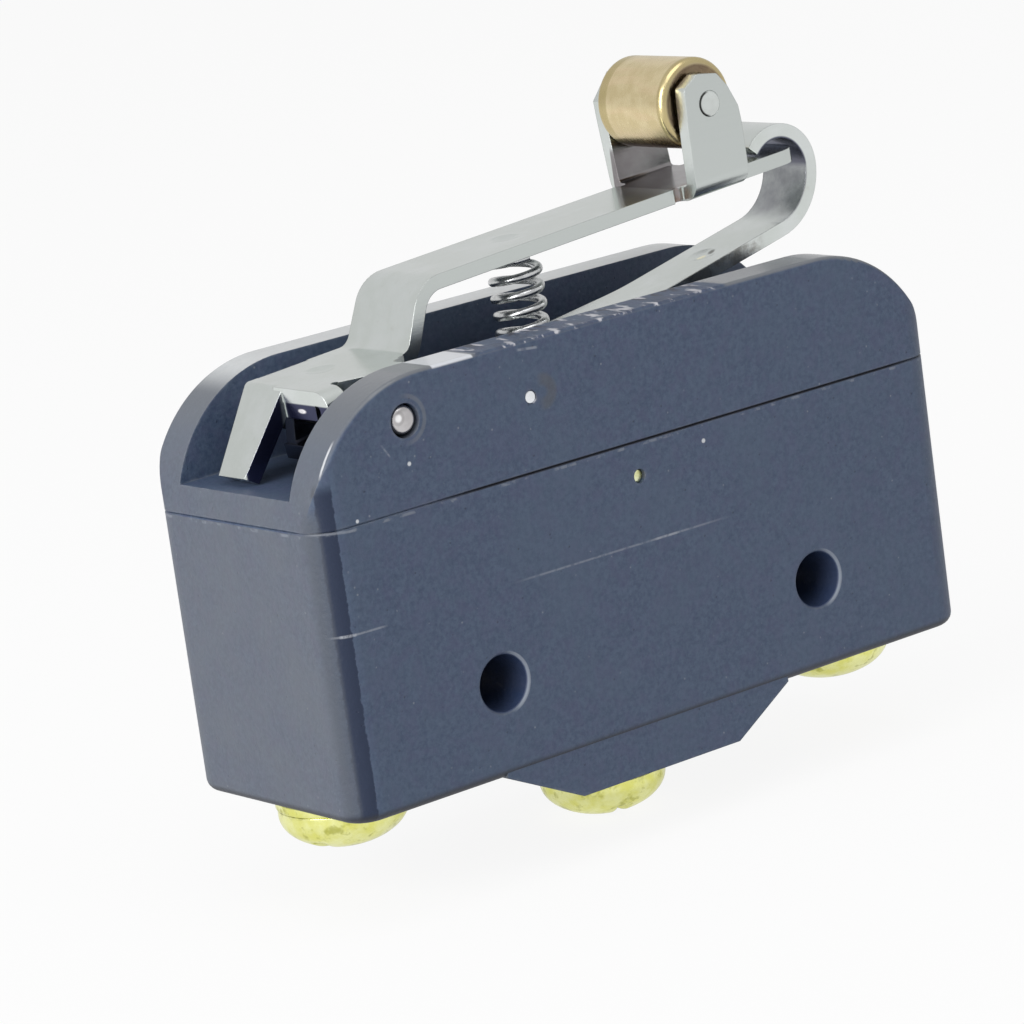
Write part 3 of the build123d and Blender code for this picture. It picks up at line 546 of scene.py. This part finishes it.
def pivot_pin_finish():
    """The hinge pin's turned end, with a painted highlight in a faint darker ring towards its upper left."""
    finish, colour, sheen, relief = turned("pivot_pin_steel", HINGE, (0.60, 0.585, 0.59), (0.50, 0.485, 0.49), 0.30)
    highlight_spot = (-17.62, -8.70, 17.56)
    colour = finish.coats(
        colour,
        # Painted highlight at the spot, in a faint darker ring
        (finish.spot(highlight_spot, 0.14, 0.16), (1.0, 1.0, 1.0)),
        (finish.round_y(finish.place(highlight_spot)).near(0.36, 0.02, 0.10) * 0.35, (0.30, 0.29, 0.29)),
    )
    return finish.wear(Base_Color=colour, Roughness=sheen, Normal=finish.bump(relief, 0.008, 0.06))


def plated_finish(name, light, dark, rough):
    """Plated or rolled metal: a cloudy film over fine grain, with thin spots on the edges."""
    finish = Finish(name, metallic=1.0)
    place = finish.place()
    film = finish.noise(place, 0.45, 4.0, 0.62)
    grain = finish.noise(place, 7.0, 2.0, 0.5)
    brighter = tuple(min(1.0, 1.15 * part) for part in light)
    colour = finish.blend(film.rises(0.34, 0.68), dark, light)
    colour = finish.blend(finish.worn_edge(0.2) * 0.3, colour, brighter)
    return finish.wear(
        Base_Color=colour,
        Roughness=(film * 0.6 + grain * 0.4).between(rough - 0.08, rough + 0.12),
        Normal=finish.bump(grain * 0.6 + film * 0.4, 0.012, 0.08),
    )


def spring_finish():
    """Drawn wire: smooth, with dull grey smears."""
    finish = Finish("spring_wire", metallic=1.0)
    smears = finish.noise(finish.place(), 0.9, 3.0, 0.6)
    colour = finish.blend(smears.rises(0.35, 0.65), (0.54, 0.55, 0.56), (0.76, 0.77, 0.77))
    return finish.wear(
        Base_Color=colour, Roughness=smears.between(0.20, 0.34), Normal=finish.bump(smears, 0.01, 0.05)
    )


def screw_finish():
    """Yellow passivated plating: strong yellow and olive patches, pale where it is thin."""
    finish = Finish("screw_plating", metallic=1.0)
    place = finish.place()
    film = finish.noise(place, 0.75, 3.0, 0.6)
    pools = finish.noise(finish.place((2.0, 4.0, 1.0)), 0.9, 3.0, 0.6)
    grain = finish.noise(place, 7.0, 2.0, 0.5)
    colour = finish.coats(
        finish.blend(film.rises(0.35, 0.65), (0.80, 0.80, 0.22), (0.90, 0.91, 0.42)),
        (pools.rises(0.54, 0.68) * 0.7, (0.42, 0.42, 0.06)),
        (finish.worn_edge(0.25) * 0.3, (0.95, 0.95, 0.62)),
    )
    return finish.wear(
        Base_Color=colour,
        Roughness=(film * 0.6 + grain * 0.4).between(0.12, 0.30),
        Normal=finish.bump(grain * 0.3 + pools * 0.7, 0.03, 0.10),
    )


def plunger_finish():
    """Red-brown moulded plastic with a polished, slightly scuffed crown."""
    finish = Finish("plunger_plastic", Specular_IOR_Level=0.5)
    place = finish.place()
    clouds = finish.noise(place, 0.8, 3.0, 0.6)
    grain = finish.noise(place, 8.0, 2.0, 0.5)
    crown = finish.axis(place, "Z").rises(15.6, 16.3)
    colour = finish.blend(clouds.rises(0.35, 0.7), (0.20, 0.045, 0.028), (0.27, 0.07, 0.04))
    roughness = (grain * 0.5 + clouds * 0.3 + (1 - crown) * 0.2).between(0.22, 0.5)
    return finish.wear(Base_Color=colour, Roughness=roughness, Normal=finish.bump(grain, 0.02))


# Each finish and the nodes that wear it
finishes = (
    (moulding_finish(), "case", "cover"),
    (upper_lever_finish(), "roller_arm"),
    (lower_lever_finish(), "plunger_lever"),
    (roller_finish(), "roller"),
    (roller_pin_finish(), "roller_pin"),
    (pivot_pin_finish(), "pivot_pin"),
    (turned_finish("stud_steel", WALL_STUD, (0.88, 0.90, 0.93), (0.78, 0.80, 0.83), 0.26), "wall_stud"),
    (turned_finish("lock_pin_brass", LOCK_PIN, (0.90, 0.93, 0.62), (0.62, 0.62, 0.28), 0.26), "lock_pin"),
    (spring_finish(), "coil_spring"),
    (plunger_finish(), "plunger"),
    (plated_finish("blade_alloy", (0.72, 0.42, 0.26), (0.55, 0.30, 0.18), 0.28), "snap_spring"),
    (
        plated_finish("contact_silver", (0.84, 0.83, 0.80), (0.66, 0.65, 0.62), 0.30),
        "moving_contact", "open_contact", "closed_contact",
    ),
    (
        plated_finish("terminal_brass", (0.70, 0.56, 0.28), (0.56, 0.42, 0.19), 0.32),
        "common_terminal", "open_terminal", "closed_terminal",
    ),
    (
        screw_finish(),
        "common_screw", "open_screw", "closed_screw", "common_washer", "open_washer", "closed_washer",
    ),
)
for material, *node_names in finishes:
    for node_name in node_names:
        slots = nodes[node_name].data.materials
        slots.clear()
        slots.append(material)


# Work on the meshes of copies

def select_only(piece):
    bpy.ops.object.select_all(action="DESELECT")
    piece.select_set(True)
    bpy.context.view_layer.objects.active = piece


def merged_copy(node_name, name):
    """A copy of a node with its triangles joined, active and selected."""
    made = nodes[node_name].copy()
    made.data = nodes[node_name].data.copy()
    made.name = name
    bpy.context.scene.collection.objects.link(made)
    select_only(made)
    bpy.ops.object.mode_set(mode="EDIT")
    bpy.ops.mesh.select_all(action="SELECT")
    bpy.ops.mesh.remove_doubles(threshold=1e-6)
    bpy.ops.object.mode_set(mode="OBJECT")
    bpy.ops.mesh.customdata_custom_splitnormals_clear()
    return made


def along_arm(origin, turn=0.0):
    """The place and slope of the arm's straight part at an origin in millimetres, turned up further by an angle."""
    return Matrix.Translation(Vector(origin) / 1000) @ Matrix.Rotation(-radians(ARM_TILT + turn), 4, "Y")


def block(name, low, high, placing):
    """A block between two corners in millimetres, put in its place."""
    bpy.ops.object.select_all(action="DESELECT")
    bpy.ops.mesh.primitive_cube_add(size=1.0)
    made = bpy.context.object
    made.name = name
    bpy.ops.object.mode_set(mode="EDIT")
    bpy.ops.mesh.select_all(action="SELECT")
    bpy.ops.transform.resize(value=[(b - a) / 1000 for a, b in zip(low, high)])
    bpy.ops.transform.translate(value=[(a + b) / 2000 for a, b in zip(low, high)])
    bpy.ops.object.mode_set(mode="OBJECT")
    made.matrix_world = placing
    bpy.ops.object.transform_apply(location=True, rotation=True, scale=True)
    return made


def combine(piece, tool, operation):
    """Cut a tool from a piece or join it on, and remove the tool. The piece stays selected."""
    step = piece.modifiers.new("combine", "BOOLEAN")
    step.object = tool
    step.operation = operation
    step.solver = "EXACT"
    select_only(piece)
    bpy.ops.object.modifier_apply(modifier=step.name)
    bpy.data.objects.remove(tool)


# The upper lever again, with its far roller ear cut back and a second wing beside its root

EAR_CUT_FROM, EAR_CUT_TO = (-1.85, 0.45), (-0.20, 1.95)  # along and up from the roller's centre
WING_LOW, WING_HIGH = (-0.95, -5.40, 1.37), (3.30, -2.90, 1.37 + STRIP)  # from the hinge
WING_CORNER, WING_FLARE = (-0.95, -4.05, 1.8), 33.4


def cut_far_ear(arm):
    """Cut the far roller ear's upper corner away along a slanted line."""
    start = along_arm((0, 0, 0)) @ Vector((EAR_CUT_FROM[0], 0, EAR_CUT_FROM[1]))
    slope = degrees(atan2(EAR_CUT_TO[1] - EAR_CUT_FROM[1], EAR_CUT_TO[0] - EAR_CUT_FROM[0]))
    placing = along_arm(Vector(ROLLER_CENTRE) + start, slope)
    combine(arm, block("ear_cut", (-2.0, 3.4, 0.0), (4.2, 7.0, 4.0), placing), "DIFFERENCE")


def add_root_wing(arm):
    """Join a small flared wing to the root plate's near side."""
    wing = block("root_wing", WING_LOW, WING_HIGH, along_arm(HINGE))
    corner = Matrix.Translation(Vector(WING_CORNER) / 1000) @ Matrix.Rotation(-radians(WING_FLARE), 4, "Z")
    flare = block("wing_cut", (-3.0, -4.0, -4.0), (4.0, 0.0, 4.0), along_arm(HINGE) @ corner)
    combine(wing, flare, "DIFFERENCE")
    combine(arm, wing, "UNION")


arm = merged_copy("roller_arm", "upper_lever_strip")
cut_far_ear(arm)
add_root_wing(arm)
bpy.ops.object.shade_smooth_by_angle(angle=radians(9))  # keeps the dimples' rims sharp, so the flats stay even
even = arm.modifiers.new("even_shading", "WEIGHTED_NORMAL")
even.keep_sharp = True
bpy.ops.object.modifier_apply(modifier=even.name)
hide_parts("roller_arm")
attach(arm, "upper_lever")

# The coil spring again, carried by the upper lever
coil = merged_copy("coil_spring", "coil_spring_wire")
bpy.ops.object.shade_smooth_by_angle(angle=radians(50))
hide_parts("coil_spring")
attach(coil, "upper_lever")
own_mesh(coil)


# Floor, light and camera

SHOWN_WHITE = 1.0  # brightness of floor and world to the camera
MIRRORED_WHITE = 0.72  # their brightness in the metal
SKY_LEVEL = 0.42  # the world's brightness as light


def paper_material():
    """White paper for the floor: it keeps the object's shadow and shows white to the camera and in reflections."""
    finish = Finish("white_paper", Roughness=0.9)
    finish.shader.inputs["Base Color"].default_value = (0.80, 0.80, 0.80, 1.0)
    path = finish.tree.nodes.new("ShaderNodeLightPath")
    mirrored = Value(finish, path.outputs["Is Glossy Ray"]) * MIRRORED_WHITE
    seen = Value(finish, path.outputs["Is Camera Ray"]) + mirrored
    glow = finish.node("ShaderNodeEmission", None, {"Color": (1.0, 1.0, 1.0, 1.0), "Strength": SHOWN_WHITE})
    paper = Value(finish, finish.shader.outputs[0])
    shown = finish.node("ShaderNodeMixShader", None, {0: seen * 0.9, 1: paper, 2: glow})
    finish.tree.links.new(shown.socket, finish.tree.nodes["Material Output"].inputs[0])
    return finish.material


def studio_world():
    """An even white world: dim as light, brighter in the metal and white to the camera."""
    world = bpy.data.worlds.new("studio")
    bpy.context.scene.world = world
    world.use_nodes = True
    tree = world.node_tree
    sky = tree.nodes["Background"]
    sky.inputs["Color"].default_value = (1.0, 1.0, 1.0, 1.0)
    path = tree.nodes.new("ShaderNodeLightPath")
    level = sky.inputs["Strength"]
    rays = (("Is Camera Ray", SHOWN_WHITE), ("Is Transmission Ray", SHOWN_WHITE), ("Is Glossy Ray", MIRRORED_WHITE))
    for ray, seen in rays:
        mix = tree.nodes.new("ShaderNodeMix")
        tree.links.new(path.outputs[ray], mix.inputs[0])
        tree.links.new(mix.outputs[0], level)
        mix.inputs[3].default_value = seen
        level = mix.inputs[2]
    level.default_value = SKY_LEVEL


def soft_lamp(name, place, watts):
    """A square area lamp of half a metre that looks at the middle of the part."""
    target = (0, 0, 0.01)
    lamp = bpy.data.lights.new(name, "AREA")
    lamp.shape = "SQUARE"
    lamp.size = 0.50
    lamp.energy = watts
    holder = bpy.data.objects.new(name, lamp)
    bpy.context.scene.collection.objects.link(holder)
    holder.location = place
    holder.rotation_euler = (Vector(target) - Vector(place)).to_track_quat("-Z", "Y").to_euler()


def photo_camera():
    """The camera that was fitted to the photograph."""
    lens = bpy.data.cameras.new("photo_camera")
    lens.sensor_width = 36.0
    lens.lens = 163.293
    lens.clip_start = 0.01
    camera = bpy.data.objects.new("photo_camera", lens)
    bpy.context.scene.collection.objects.link(camera)
    right = (0.781385, -0.609365, -0.134577)
    up = (0.238627, 0.092497, 0.966696)
    away = (-0.576623, -0.787476, 0.217687)
    turn = Matrix((right, up, away)).transposed().to_4x4()
    camera.matrix_world = Matrix.Translation((-0.1711417, -0.2282461, 0.0707932)) @ turn
    bpy.context.scene.camera = camera


bpy.ops.object.select_all(action="DESELECT")
bpy.ops.mesh.primitive_plane_add(size=6.0, location=(0, 0, frame_box[0][2]))
floor = bpy.context.object
floor.name = "paper_floor"
floor.data.materials.append(paper_material())

studio_world()
soft_lamp("window_left", (-0.60, -0.16, 0.25), 4.2)
soft_lamp("top_panel", (-0.05, -0.25, 0.60), 1.3)
photo_camera()
bpy.context.scene.view_settings.view_transform = "Standard"
